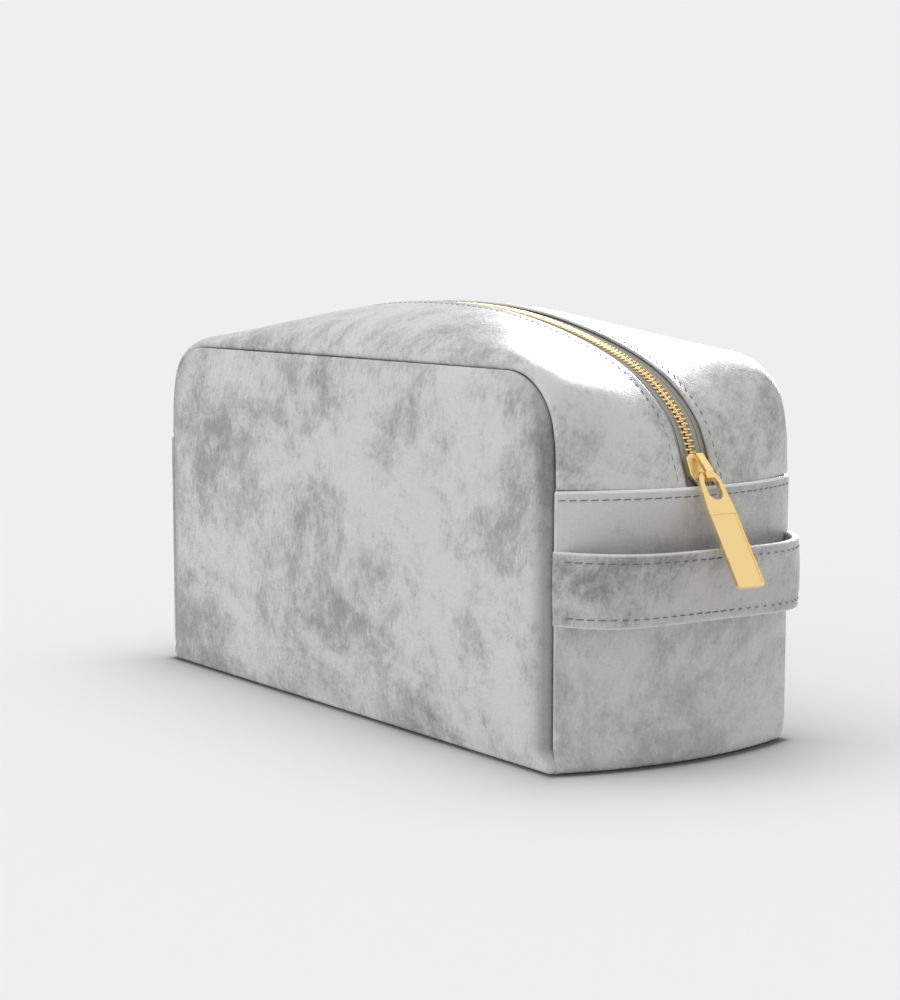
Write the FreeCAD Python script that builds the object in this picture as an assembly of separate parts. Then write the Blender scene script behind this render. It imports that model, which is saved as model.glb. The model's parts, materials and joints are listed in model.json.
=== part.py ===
import FreeCAD, Part
import math
import os

os.makedirs("parts", exist_ok=True)

# Soft zip-top vanity bag. Millimetres, +Z up, origin at the centre of the underside.
# +X is the end with the handle and the closed zip slider, -Y is the front panel.

Vector = FreeCAD.Vector

# Overall sizes, seam to seam.
bag_length = 262.0
bag_width = 101.0
seam_height = 130.0
corner_radius = 26.0
base_corner_radius = 8.0

# Centre line over the top: a superellipse that stands proud of the seams.
crown_rise = 19.5
end_bulge = 15.0
crown_power = 2.15

# Where the mouth folds, and the top edge of the end panels just below it.
fold_drop = 11.0
fold_gap = 0.6
fold_margin = 0.1
belly_drop = 13.0
end_panel_drop = 1.0
end_panel_proud = 0.4
end_bulge_base = 9.8
end_bulge_power = 2.2

# Sheet materials.
leather = 1.8
lining = 0.8
tape = 0.6
board = 1.5
board_inset = 2.0
seam_gap = 0.3
layer_gap = 0.4
lining_inset = 5.0

# Zip.
mouth_slot = 12.4
tape_width = 15.0
tape_gap = 0.2
tape_edge = 1.0
chain_width = 4.8
tooth_height = 2.4
tooth_pitch = 2.0
tooth_length = 0.8
tooth_reach = 0.8
tooth_grip = 0.15
tooth_root = 0.2
chain_end = 5.0
stop_length = 2.4
stop_width = 1.6
stop_height = 1.0
stop_end = 2.6
stop_seat = 0.05

# Slider, bail and pull tab.
slider_above_fold = 5.0
slider_width = 8.0
slider_end_width = 5.2
slider_nose_width = 3.8
slider_tail = 4.8
slider_nose = 5.6
slider_shoulder = 1.2
slider_cheek = 2.4
slider_plate = 1.2
slider_gap = 0.3
slider_edge = 0.35
flange = 0.6
bail_width = 3.0
bail_bar = 1.1
bail_tail_inset = 0.6
bail_tail_rise = 2.0
bail_chamfer = 0.5
bail_edge = 0.25
pivot_back = 3.3
pivot_above_plate = 2.5
pivot_radius = 0.8
pivot_gap = 0.4
tab_length = 41.0
tab_width = 11.0
tab_head_width = 9.0
tab_head_top = 1.2
tab_thickness = 1.8
tab_lean = 33.3
tab_neck = 12.0
tab_hole_width = 5.8
tab_hole_top = 1.0
tab_hole_end = 9.8
tab_rim = 0.8
tab_pocket = 0.2
tab_corner = 1.2
tab_edge = 0.3
tab_bar_end = 0.6

# Handle strap on the +X end.
strap_drop = 19.0
strap_width = 24.0
strap_thickness = 2.6
finger_gap_bottom = 6.5
finger_gap_top = 9.4
strap_power = 3.3
strap_foot = 0.6
strap_end = 0.8

# Stitches.
stitch_length = 2.6
stitch_pitch = 3.6
stitch_thread = 0.5
stitch_inset = 3.0
stitch_proud = 0.15

half_length = bag_length / 2
half_width = bag_width / 2
crown_height = seam_height + crown_rise
fold_height = seam_height - corner_radius - fold_drop
belly_height = fold_height - belly_drop
end_panel_top = fold_height - end_panel_drop
slider_height = fold_height + slider_above_fold
slider_lift = tooth_height / 2 + slider_gap
plate_top = slider_lift + slider_plate
pivot_lift = plate_top + pivot_above_plate
strap_top = end_panel_top - strap_drop
strap_bottom = strap_top - strap_width
tape_depth = leather + tape_gap
tape_plane = tape_depth + tape / 2
station_count = 121
sheet_stations = 61
near = 0.01


def save(node, shapes):
    """Write one node: a single solid, or a group of solids."""
    shape = shapes[0] if len(shapes) == 1 else Part.makeCompound(shapes)
    shape.exportStep("parts/" + node + ".step")


def seam_profile(start):
    """Side outline of the top seam in XZ, from one end at the start height over to the other."""
    side = seam_height - corner_radius
    inner = half_length - corner_radius
    diagonal = corner_radius * math.sqrt(0.5)
    edges = []
    edges.append(Part.makeLine(Vector(half_length, 0, start), Vector(half_length, 0, side)))
    arc = Part.Arc(Vector(half_length, 0, side),
                   Vector(inner + diagonal, 0, side + diagonal),
                   Vector(inner, 0, seam_height))
    edges.append(arc.toShape())
    edges.append(Part.makeLine(Vector(inner, 0, seam_height), Vector(-inner, 0, seam_height)))
    arc = Part.Arc(Vector(-inner, 0, seam_height),
                   Vector(-inner - diagonal, 0, side + diagonal),
                   Vector(-half_length, 0, side))
    edges.append(arc.toShape())
    edges.append(Part.makeLine(Vector(-half_length, 0, side), Vector(-half_length, 0, start)))
    return Part.Wire(edges)


def crown_x(height):
    """Half length of the centre line at a height: superellipse solved for x."""
    rise = (height - belly_height) / (crown_height - belly_height)
    return (half_length + end_bulge) * (1 - rise ** crown_power) ** (1 / crown_power)


def crown_profile(start):
    """Centre line of the top in XZ, x = a cos(t)^(2/n), z = c + b sin(t)^(2/n)."""
    reach = half_length + end_bulge
    rise = crown_height - belly_height
    first = math.asin(((start - belly_height) / rise) ** (crown_power / 2))
    count = 48
    points = []
    for i in range(count + 1):
        angle = first + (math.pi - 2 * first) * i / count
        side = math.cos(angle)
        x = reach * math.copysign(abs(side) ** (2 / crown_power), side)
        z = belly_height + rise * math.sin(angle) ** (2 / crown_power)
        points.append(Vector(x, 0, z))
    curve = Part.BSplineCurve()
    curve.interpolate(points)
    return Part.Wire([curve.toShape()])


lower_top = fold_height - fold_gap / 2
upper_low = fold_height + fold_gap / 2
top_start = upper_low + fold_margin
seam_stations = seam_profile(top_start).discretize(Number=station_count)
crown_stations = crown_profile(top_start).discretize(Number=station_count)


def top_point(station, across, depth):
    """Point on the top skin: across runs from -1 at the front seam to 1 at the back seam.

    The section between the seams is a parabola; depth is measured inward along the normal.
    """
    def outer(index):
        seam = seam_stations[index]
        proud = crown_stations[index] - seam
        return seam + proud * (1 - across * across)

    before = max(station - 1, 0)
    after = min(station + 1, station_count - 1)
    proud = crown_stations[station] - seam_stations[station]
    along = outer(after) - outer(before)
    sideways = proud * (-2 * across) + Vector(0, half_width, 0)
    normal = sideways.cross(along)
    normal.normalize()
    place = outer(station) + Vector(0, across * half_width, 0)
    return place - normal * depth


def end_bulge_at(height):
    """How far the end panel stands out of the seam plane at its middle."""
    share = height / end_panel_top
    growth = end_bulge + end_panel_proud - end_bulge_base
    return end_bulge_base + growth * share ** end_bulge_power


def end_point(height, across, depth):
    """Point on the +X end skin, a parabola across the end that grows towards the top."""
    bulge = end_bulge_at(height)
    slope = -2 * across * bulge / half_width
    step = 0.5  # millimetres, for the slope
    rise = (end_bulge_at(height + step) - bulge) / step * (1 - across * across)
    normal = Vector(1, -slope, -rise)
    normal.normalize()
    place = Vector(half_length + bulge * (1 - across * across), across * half_width, height)
    return place - normal * depth


def interpolated(grid):
    surface = Part.BSplineSurface()
    surface.interpolate(grid)
    return surface


def sheet(outer_grid, inner_grid):
    """Closed solid between two point grids, with ruled faces round its four edges."""
    outer = interpolated(outer_grid)
    inner = interpolated(inner_grid)
    u0, u1, v0, v1 = outer.bounds()
    p0, p1, q0, q1 = inner.bounds()
    faces = [outer.toShape(), inner.toShape()]
    pairs = [(outer.uIso(u0), inner.uIso(p0)), (outer.uIso(u1), inner.uIso(p1)),
             (outer.vIso(v0), inner.vIso(q0)), (outer.vIso(v1), inner.vIso(q1))]
    for near, far in pairs:
        faces.append(Part.makeRuledSurface(near.toShape(), far.toShape()))
    shell = Part.makeShell(faces)
    shell.sewShape()
    solid = Part.makeSolid(shell)
    if solid.Volume < 0:
        solid.reverse()
    return solid


def spread(first, last, count):
    return [first + (last - first) * i / (count - 1) for i in range(count)]


def top_sheet(near, far, outer_depth, inner_depth, first=0, last=station_count - 1):
    """Strip of the top skin between two distances from the centre line, front side."""
    stations = [round(s) for s in spread(first, last, sheet_stations)]
    across = spread(-near / half_width, -far / half_width, 7)
    outer = [[top_point(s, v, outer_depth) for v in across] for s in stations]
    inner = [[top_point(s, v, inner_depth) for v in across] for s in stations]
    return sheet(outer, inner)


def end_sheet(low, high, reach, outer_depth, inner_depth):
    """Skin of the +X end between two heights, as wide as reach each side of the middle."""
    heights = spread(low, high, 9)
    across = spread(-reach / half_width, reach / half_width, 13)
    outer = [[end_point(z, v, outer_depth) for v in across] for z in heights]
    inner = [[end_point(z, v, inner_depth) for v in across] for z in heights]
    return sheet(outer, inner)


def mirror_x(shape):
    return shape.mirror(Vector(0, 0, 0), Vector(1, 0, 0))


def mirror_y(shape):
    return shape.mirror(Vector(0, 0, 0), Vector(0, 1, 0))


def panel(inset, y_outer, thickness, low, high):
    """Flat front panel: the seam outline moved in by inset, between two heights."""
    reach = half_length - inset
    top = seam_height - inset
    radius = corner_radius - inset
    block = Part.makeBox(2 * reach, thickness, top, Vector(-reach, y_outer, 0))
    for level, round_radius in ((top, radius), (0, base_corner_radius)):
        corners = []
        for edge in block.Edges:
            middle = edge.CenterOfMass
            across_sheet = abs(middle.y - y_outer - thickness / 2) < near
            if across_sheet and abs(abs(middle.x) - reach) < near and abs(middle.z - level) < near:
                corners.append(edge)
        block = block.makeFillet(round_radius, corners)
    window = Part.makeBox(2 * reach + 2, thickness + 2, high - low, Vector(-reach - 1, y_outer - 1, low))
    return block.common(window).Solids[0]


def floor_plate(low, thickness, clear, reach):
    """Flat plate whose ends follow the end panels' inner faces with a clearance."""
    corner = half_length - clear
    middle = half_length + end_bulge_base - clear
    right = Part.Arc(Vector(corner, -reach, low), Vector(middle, 0, low), Vector(corner, reach, low))
    left = Part.Arc(Vector(-corner, reach, low), Vector(-middle, 0, low), Vector(-corner, -reach, low))
    front = Part.makeLine(Vector(-corner, -reach, low), Vector(corner, -reach, low))
    back = Part.makeLine(Vector(corner, reach, low), Vector(-corner, reach, low))
    outline = Part.Wire([front, right.toShape(), back, left.toShape()])
    return Part.Face(outline).extrude(Vector(0, 0, thickness))


def oriented_box(centre, along, out, length, width, height):
    """Box centred at a point, its length along one direction and its height outwards."""
    side = out.cross(along)
    side.normalize()
    corner = centre - along * (length / 2) - side * (width / 2) - out * (height / 2)
    base = Part.makePolygon([corner, corner + along * length,
                             corner + along * length + side * width, corner + side * width, corner])
    return Part.Face(base).extrude(out * height)


def path_frames(points, pitch, margin):
    """Evenly spaced places, directions and normals along an open line of points."""
    curve = Part.BSplineCurve()
    curve.interpolate(points)
    edge = curve.toShape()
    count = int((edge.Length - 2 * margin) / pitch)
    first = (edge.Length - count * pitch) / 2
    frames = []
    for i in range(count + 1):
        parameter = edge.getParameterByLength(first + i * pitch)
        direction = edge.tangentAt(parameter)
        frames.append((edge.valueAt(parameter), direction))
    return frames


# Leather shell, lower part, which stands still.
front_y = -half_width
inner_y = half_width - leather - seam_gap
front_lower = panel(0, front_y, leather, 0, lower_top)
save("front_panel_lower", [front_lower])
save("back_panel_lower", [mirror_y(front_lower)])

right_end = end_sheet(0, end_panel_top, inner_y, 0, leather)
save("right_end_panel", [right_end])
save("left_end_panel", [mirror_x(right_end)])

plate_clear = leather + 2 * seam_gap
save("base_panel", [floor_plate(0, leather, plate_clear, inner_y)])
inside_clear = plate_clear + lining + layer_gap
board_low = leather + seam_gap
board_reach = inner_y - lining - board_inset
save("base_board", [floor_plate(board_low, board, inside_clear, board_reach)])
lining_low = board_low + board + seam_gap
lining_reach = inner_y - lining - 2 * layer_gap
save("lining_base", [floor_plate(lining_low, lining, inside_clear, lining_reach)])

# Lining, lower part.
lining_y = front_y + leather + layer_gap
lining_foot = lining_low + lining + seam_gap
front_lining = panel(lining_inset, lining_y, lining, lining_foot, lower_top)
save("lining_front_lower", [front_lining])
save("lining_back_lower", [mirror_y(front_lining)])
end_lining_outer = leather + layer_gap
end_lining = end_sheet(lining_foot, end_panel_top - seam_gap, lining_reach - lining,
                       end_lining_outer, end_lining_outer + lining)
save("lining_right_end", [end_lining])
save("lining_left_end", [mirror_x(end_lining)])

# Front and back halves of the mouth, which fold outwards.
front_upper = panel(0, front_y, leather, upper_low, seam_height)
save("front_panel_upper", [front_upper])
save("back_panel_upper", [mirror_y(front_upper)])
upper_lining = panel(lining_inset, lining_y, lining, upper_low, seam_height)
save("lining_front_upper", [upper_lining])
save("lining_back_upper", [mirror_y(upper_lining)])

gusset = top_sheet(inner_y, mouth_slot / 2, 0, leather)
save("front_zip_gusset", [gusset])
save("back_zip_gusset", [mirror_y(gusset)])

gusset_lining_outer = tape_depth + tape + layer_gap
gusset_lining = top_sheet(lining_reach - 2 * lining, mouth_slot / 2 + lining, gusset_lining_outer,
                          gusset_lining_outer + lining, 2, station_count - 3)
save("lining_front_gusset", [gusset_lining])
save("lining_back_gusset", [mirror_y(gusset_lining)])

zip_tape = top_sheet(tape_width, tape_edge, tape_depth, tape_depth + tape)
save("front_zip_tape", [zip_tape])
save("back_zip_tape", [mirror_y(zip_tape)])

# Teeth: a clamp on each tape edge, with a head that reaches between the teeth of the other row.
line_step = 3
chain_line = [top_point(s, 0, tape_plane) for s in range(0, station_count, line_step)]
chain_frames = path_frames(chain_line, tooth_pitch / 2, chain_end)


def outward(direction):
    """Unit normal of the centre line, away from the bag."""
    normal = Vector(-direction.z, 0, direction.x)
    if normal.z < 0 or (abs(normal.z) < 1e-6 and normal.x < 0):
        normal = normal * -1
    return normal


def tooth(frame, side):
    """One tooth: two jaws that straddle the tape edge, joined by a head over the centre."""
    place, direction = frame
    out = outward(direction)
    slot = tape + 2 * tooth_grip
    jaw = (tooth_height - slot) / 2
    back = chain_width / 2
    length = back - tape_edge + tooth_root
    middle = side * (back - length / 2)
    pieces = []
    for up in (1, -1):
        centre = place + Vector(0, middle, 0) + out * (up * (slot / 2 + jaw / 2))
        pieces.append(oriented_box(centre, direction, out, tooth_length, length, jaw))
    head = tooth_reach + tape_edge - tooth_root
    centre = place + Vector(0, side * (tape_edge - tooth_root - head / 2), 0)
    pieces.append(oriented_box(centre, direction, out, tooth_length, head, tooth_height))
    return pieces[0].multiFuse(pieces[1:]).removeSplitter().Solids[0]


save("front_zip_teeth", [tooth(f, -1) for f in chain_frames[0::2]])
save("back_zip_teeth", [tooth(f, 1) for f in chain_frames[1::2]])


def stop(place, direction):
    """Metal stop block that stands on the front tape's edge, outside the bag."""
    out = outward(direction)
    middle = -(tape_edge + stop_width / 2)
    centre = place + Vector(0, middle, 0) + out * (tape / 2 + stop_seat + stop_height / 2)
    return oriented_box(centre, direction, out, stop_length, stop_width, stop_height)


# Stops: one on each tape at each end of the chain.
chain_path = path_frames(chain_line, 1.0, stop_end)
front_stop = stop(*chain_path[0])
save("front_top_stop", [front_stop])
save("back_top_stop", [mirror_y(front_stop)])
far_stop = stop(*chain_path[-1])
save("front_end_stop", [far_stop])
save("back_end_stop", [mirror_y(far_stop)])

# Slider frame: origin on the tape plane, tail direction up the zip, normal outwards.
crown_step = 0.05
slope_x = crown_x(slider_height + crown_step) - crown_x(slider_height - crown_step)
tail = Vector(slope_x, 0, 2 * crown_step)
tail.normalize()
normal = Vector(tail.z, 0, -tail.x)
slider_origin = Vector(crown_x(slider_height), 0, slider_height) - normal * tape_plane


def in_slider(along, side, out):
    """Point given by its distances along the zip, across it and out of it."""
    return slider_origin + tail * along + Vector(0, side, 0) + normal * out


def prism_up(outline, low, high):
    """Outline in the zip's plane, between two heights over it."""
    points = [in_slider(a, s, low) for a, s in outline]
    return Part.Face(Part.makePolygon(points + points[:1])).extrude(normal * (high - low))


def prism_across(outline, width):
    """Outline in the plane along and out of the zip, centred across it."""
    points = [in_slider(a, -width / 2, n) for a, n in outline]
    return Part.Face(Part.makePolygon(points + points[:1])).extrude(Vector(0, width, 0))


half_slider = slider_width / 2
shoulder = slider_tail - slider_shoulder
plate_side = [(slider_tail, slider_end_width / 2), (shoulder, half_slider),
              (-slider_cheek, half_slider), (-slider_nose, slider_nose_width / 2)]
plate_outline = plate_side + [(along, -side) for along, side in reversed(plate_side)]
slider = prism_up(plate_outline, slider_lift, plate_top)
flanges = []
for side in (1, -1):
    inner = side * (half_slider - flange)
    outer = side * half_slider
    strip = [(shoulder, inner), (shoulder, outer), (-slider_cheek, outer), (-slider_cheek, inner)]
    flanges.append(prism_up(strip, tape / 2 + slider_gap, slider_lift))
slider = slider.multiFuse(flanges).removeSplitter().Solids[0]
rounded = []
for edge in slider.Edges:
    if abs((edge.CenterOfMass - slider_origin).dot(normal) - plate_top) < near:
        rounded.append(edge)
slider = slider.makeFillet(slider_edge, rounded)
save("slider_body", [slider])

# Bail: a bridge over the plate, higher at the nose, that traps the pull tab's bar.
roof = pivot_lift + pivot_radius + pivot_gap
bail_top = roof + bail_bar
bail_tail = slider_tail - bail_tail_inset
bail_nose = -pivot_back - pivot_radius - pivot_gap - bail_bar
nose_inner = bail_nose + bail_bar
tail_inner = bail_tail - bail_bar
bail_outer = [(bail_tail, plate_top), (bail_tail, plate_top + bail_tail_rise),
              (bail_chamfer - pivot_back, bail_top), (bail_nose + bail_chamfer, bail_top - bail_chamfer),
              (bail_nose, roof - bail_chamfer), (bail_nose, plate_top)]
bail_inner = [(nose_inner, plate_top), (nose_inner, roof - bail_chamfer),
              (bail_chamfer - pivot_back, roof), (tail_inner, plate_top + bail_tail_rise - bail_bar),
              (tail_inner, plate_top)]
bail = prism_across(bail_outer + bail_inner, bail_width)
ridges = []
for edge in bail.Edges:
    place = edge.CenterOfMass - slider_origin
    on_side = abs(abs(place.y) - bail_width / 2) < near
    if on_side and place.dot(normal) > roof:
        ridges.append(edge)
save("slider_bail", [bail.makeFillet(bail_edge, ridges)])

# Pull tab: a flat bar with a round ring head, hung on a round bar under the bail.
pivot = in_slider(-pivot_back, 0, pivot_lift)
lean = math.radians(tab_lean)
down = Vector(math.sin(lean), 0, -math.cos(lean))
face_out = Vector(math.cos(lean), 0, math.sin(lean))


def in_tab(along, side, out):
    return pivot + down * along + Vector(0, side, 0) + face_out * out


def tab_outline(grow, low, high):
    """Half round head, sides that widen to the neck, then straight to a foot with round corners."""
    head = tab_head_width / 2 + grow
    centre = tab_head_width / 2 - tab_head_top
    body = tab_width / 2 + grow
    foot = tab_length + grow
    corner = tab_corner + grow / 2
    bend = corner * (1 - math.sqrt(0.5))
    arc = Part.Arc(in_tab(centre, -head, low), in_tab(centre - head, 0, low), in_tab(centre, head, low))
    edges = [arc.toShape()]
    edges.append(Part.makeLine(in_tab(centre, head, low), in_tab(tab_neck, body, low)))
    edges.append(Part.makeLine(in_tab(tab_neck, body, low), in_tab(foot - corner, body, low)))
    arc = Part.Arc(in_tab(foot - corner, body, low), in_tab(foot - bend, body - bend, low),
                   in_tab(foot, body - corner, low))
    edges.append(arc.toShape())
    edges.append(Part.makeLine(in_tab(foot, body - corner, low), in_tab(foot, corner - body, low)))
    arc = Part.Arc(in_tab(foot, corner - body, low), in_tab(foot - bend, bend - body, low),
                   in_tab(foot - corner, -body, low))
    edges.append(arc.toShape())
    edges.append(Part.makeLine(in_tab(foot - corner, -body, low), in_tab(tab_neck, -body, low)))
    edges.append(Part.makeLine(in_tab(tab_neck, -body, low), in_tab(centre, -head, low)))
    return Part.Face(Part.Wire(edges)).extrude(face_out * (high - low))


def tab_hole(low, high):
    """D-shaped hole: half round at the top and the bottom, straight at the sides."""
    half = tab_hole_width / 2
    top = tab_hole_top + half
    end = tab_hole_end - half
    upper = Part.Arc(in_tab(top, -half, low), in_tab(tab_hole_top, 0, low), in_tab(top, half, low))
    lower = Part.Arc(in_tab(end, half, low), in_tab(tab_hole_end, 0, low), in_tab(end, -half, low))
    right = Part.makeLine(in_tab(top, half, low), in_tab(end, half, low))
    left = Part.makeLine(in_tab(end, -half, low), in_tab(top, -half, low))
    outline = Part.Wire([upper.toShape(), right, lower.toShape(), left])
    return Part.Face(outline).extrude(face_out * (high - low))


half_tab = tab_thickness / 2
tab = tab_outline(0, -half_tab, half_tab)
rims = []
for edge in tab.Edges:
    if abs(abs((edge.CenterOfMass - pivot).dot(face_out)) - half_tab) < near:
        rims.append(edge)
tab = tab.makeFillet(tab_edge, rims)
tab = tab.cut(tab_hole(-tab_thickness, tab_thickness))
pocket = tab_outline(-tab_rim, half_tab - tab_pocket, tab_thickness)
above_neck = 2 * tab_length
neck_corner = Vector(pivot.x - tab_length, -tab_length, pivot.z - tab_neck)
pocket = pocket.cut(Part.makeBox(above_neck, above_neck, above_neck, neck_corner))
tab = tab.cut(pocket)

# The ring is opened at the top, and the bar that the bail traps closes it again.
slot_half = bail_width / 2 + pivot_gap
slot_end = tab_hole_top + tab_hole_width / 2
slot_corners = [(slot_end, -slot_half), (-tab_hole_width, -slot_half),
                (-tab_hole_width, slot_half), (slot_end, slot_half)]
slot_points = [in_tab(along, side, -tab_thickness) for along, side in slot_corners]
slot = Part.Face(Part.makePolygon(slot_points + slot_points[:1])).extrude(face_out * (2 * tab_thickness))
tab = tab.cut(slot)
bar_half = slot_half + tab_bar_end
bar = Part.makeCylinder(pivot_radius, 2 * bar_half, in_tab(0, -bar_half, 0), Vector(0, 1, 0))
tab = tab.fuse(bar).removeSplitter().Solids[0]
save("pull_tab", [tab])

# Handle strap: bows out of the end seams, its top edge further than its bottom edge.
strap_reach = half_width - strap_end
strap_bow_bottom = end_bulge_at(strap_bottom) + finger_gap_bottom + strap_thickness - strap_foot
strap_bow_top = end_bulge_at(strap_top) + finger_gap_top + strap_thickness - strap_foot


def strap_point(height, across, inner):
    """Outer face x = x0 + bow (1 - |v|^p); the inner face is one thickness in, thinner at the ends."""
    share = (height - strap_bottom) / (strap_top - strap_bottom)
    bow = strap_bow_bottom + (strap_bow_top - strap_bow_bottom) * share
    x = half_length + strap_foot + bow * (1 - abs(across) ** strap_power)
    if inner:
        slope = bow * strap_power * abs(across) ** (strap_power - 1) / half_width
        skin = half_length + end_bulge_at(strap_top) * (1 - across * across)
        x = max(x - strap_thickness * math.sqrt(1 + slope * slope), skin + 2 * seam_gap)
    return Vector(x, across * half_width, height)


strap_heights = spread(strap_bottom, strap_top, 4)
strap_across = spread(-strap_reach / half_width, strap_reach / half_width, 41)
strap_outer = [[strap_point(z, v, False) for v in strap_across] for z in strap_heights]
strap_inner = [[strap_point(z, v, True) for v in strap_across] for z in strap_heights]
save("handle_strap", [sheet(strap_outer, strap_inner)])


def stitch_row(points, outs, margin):
    """Short thread lengths, end to end with gaps, lying just proud of a leather face."""
    stitches = []
    for place, direction in path_frames(points, stitch_pitch, margin):
        nearest = min(range(len(points)), key=lambda i: (points[i] - place).Length)
        out = outs[nearest] - direction * outs[nearest].dot(direction)
        out.normalize()
        centre = place + out * (stitch_thread / 2 + stitch_proud)
        stitches.append(oriented_box(centre, direction, out, stitch_length, stitch_thread, stitch_thread))
    return stitches


def end_stitch_row(height):
    across = spread(-inner_y / half_width, inner_y / half_width, 41)
    points = [end_point(height, v, 0) for v in across]
    outs = [points[i] - end_point(height, v, 1) for i, v in enumerate(across)]
    return stitch_row(points, outs, stitch_length)


band_stitches = end_stitch_row(end_panel_top - stitch_inset)
save("right_end_stitches", band_stitches)
save("left_end_stitches", [mirror_x(s) for s in band_stitches])

strap_stitches = []
for height in (strap_bottom + stitch_inset, strap_top - stitch_inset):
    points = [strap_point(height, v, False) for v in strap_across]
    outs = []
    for i, place in enumerate(points):
        run = points[min(i + 1, len(points) - 1)] - points[max(i - 1, 0)]
        outs.append(Vector(run.y, -run.x, 0).normalize())
    strap_stitches.extend(stitch_row(points, outs, 2 * stitch_length))
save("handle_stitches", strap_stitches)

stitch_across = -(mouth_slot / 2 + stitch_inset) / half_width
stitch_stations = range(0, station_count, line_step)
gusset_points = [top_point(s, stitch_across, 0) for s in stitch_stations]
gusset_outs = [p - top_point(s, stitch_across, 1) for p, s in zip(gusset_points, stitch_stations)]
gusset_stitches = stitch_row(gusset_points, gusset_outs, stitch_length)
save("front_gusset_stitches", gusset_stitches)
save("back_gusset_stitches", [mirror_y(s) for s in gusset_stitches])
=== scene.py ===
import json
import math

import bpy
import numpy as np
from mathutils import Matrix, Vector


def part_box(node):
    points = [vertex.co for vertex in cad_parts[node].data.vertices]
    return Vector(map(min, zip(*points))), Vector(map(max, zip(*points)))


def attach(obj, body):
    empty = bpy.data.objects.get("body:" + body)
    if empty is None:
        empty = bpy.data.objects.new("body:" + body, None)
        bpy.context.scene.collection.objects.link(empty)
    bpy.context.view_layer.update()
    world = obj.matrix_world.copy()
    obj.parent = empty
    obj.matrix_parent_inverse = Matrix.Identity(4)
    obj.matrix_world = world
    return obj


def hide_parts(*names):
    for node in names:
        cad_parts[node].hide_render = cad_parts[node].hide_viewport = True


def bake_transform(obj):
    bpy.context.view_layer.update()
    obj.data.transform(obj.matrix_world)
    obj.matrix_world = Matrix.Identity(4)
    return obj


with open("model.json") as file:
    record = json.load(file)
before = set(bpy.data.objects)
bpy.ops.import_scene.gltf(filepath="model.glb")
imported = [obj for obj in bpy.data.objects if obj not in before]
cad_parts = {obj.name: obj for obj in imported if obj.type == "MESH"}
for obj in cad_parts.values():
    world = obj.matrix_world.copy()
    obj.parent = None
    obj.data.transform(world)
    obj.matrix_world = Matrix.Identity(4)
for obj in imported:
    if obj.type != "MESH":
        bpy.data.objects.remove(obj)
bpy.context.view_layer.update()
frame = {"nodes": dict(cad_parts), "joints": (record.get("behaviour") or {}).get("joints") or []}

# Soft zip-top vanity bag. Metres, +X is the end with the handle, -Y is the front panel.
# The leather, cloth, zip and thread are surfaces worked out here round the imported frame.
mm = 0.001

# Sizes and places that the frame gives.
joints = {joint["name"]: joint for joint in frame["joints"]}
fold_height = joints["front_mouth"]["pos_m"][2]
half_width = -joints["front_mouth"]["pos_m"][1]
half_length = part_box("front_panel_lower")[1][0]
seam_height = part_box("front_panel_upper")[1][2]
end_panel_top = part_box("right_end_panel")[1][2]
strap_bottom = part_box("handle_strap")[0][2]
strap_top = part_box("handle_strap")[1][2]

# Outline of the bag, as the frame is built.
corner_radius = 26 * mm
base_corner = 5 * mm
crown_height = seam_height + 19.5 * mm
belly_height = fold_height - 13 * mm
end_bulge = 15 * mm
crown_power = 2.15
panel_bulge_top = 15.4 * mm
panel_bulge_base = 9.8 * mm
panel_bulge_power = 2.2
top_start = fold_height + 0.4 * mm
shoulder_out = 2.3 * mm
shoulder_low = fold_height + 5 * mm
shoulder_high = seam_height - 8 * mm
shoulder_rise = 16 * mm
shoulder_fall = 22 * mm
puff = 6.8 * mm
puff_low = seam_height - 22 * mm
puff_rise = 16 * mm

# Leather, its seams and its folded edges.
leather = 1.8 * mm
skived = 1 * mm
skive_reach = 10 * mm
skive_low = 6 * mm
skive_rise = 16 * mm
seam_roll = 2.7 * mm
panel_roll = 4 * mm
panel_top_roll = 1.4 * mm
strip_roll = 1.5 * mm
strip_floor_roll = 1 * mm
bottom_wrap = 2.4 * mm
wrap_start = 10 * mm
wrap_full = 1 * mm
seam_tuck = 0.8 * mm
seam_lap = 0.5 * mm
seam_apart = 0.05
tuck_depth = 2.3 * mm
tail_low = fold_height - 7 * mm
tail_tucked = fold_height - 1.4 * mm
slot_half = 6.2 * mm
fold_turn = 0.46 * math.pi
fold_plump = 0.15 * mm
zip_lift = 0.22 * mm
zip_lift_at = 1.2 * mm
top_groove = 0.28 * mm
hem_groove = 0.25 * mm
panel_pillow = 1.0 * mm
panel_wave = 0.45 * mm
top_wave = 0.4 * mm
end_wave = 0.5 * mm
edge_rise = 1.8 * mm
edge_reach = 5.5 * mm
# How far in from the side seams the painted shade reaches.
painted_seam_shade_reach = 4 * mm

# Lining, inside everything else.
lining = 0.5 * mm
layer_gap = 0.4 * mm
lining_inset = 5 * mm
lining_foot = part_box("lining_base")[1][2] + 0.3 * mm
base_cloth_half = 46.5 * mm
base_cloth_short = 3.8 * mm

# Zip.
tape_depth = 2 * mm
tape_gap = tape_depth - leather
tape_thickness = 0.6 * mm
tape_edge = 1 * mm
tape_reach = 15 * mm
tape_cord = 2.6 * mm
tape_ridge = 0.12 * mm
tape_ridge_at = 4.3 * mm
tape_ridge_width = 0.35 * mm
tooth_pitch = 2 * mm
chain_end = 5 * mm
stop_end = 2.6 * mm

# Handle strap.
strap_thickness = 2.6 * mm
strap_round = 0.8 * mm
strap_foot = 0.6 * mm
strap_end = 0.3 * mm
strap_turn = 2.2 * mm
strap_sink = 1.5 * mm
strap_pad = 0.3 * mm
strap_pad_rise = 4 * mm
strap_groove = 0.22 * mm
strap_groove_width = 0.6 * mm
strap_clear = 0.25 * mm
finger_gap_bottom = 6.5 * mm
finger_gap_top = 9.4 * mm
strap_power_bottom = 6.2
strap_power_top = 4.3

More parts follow.
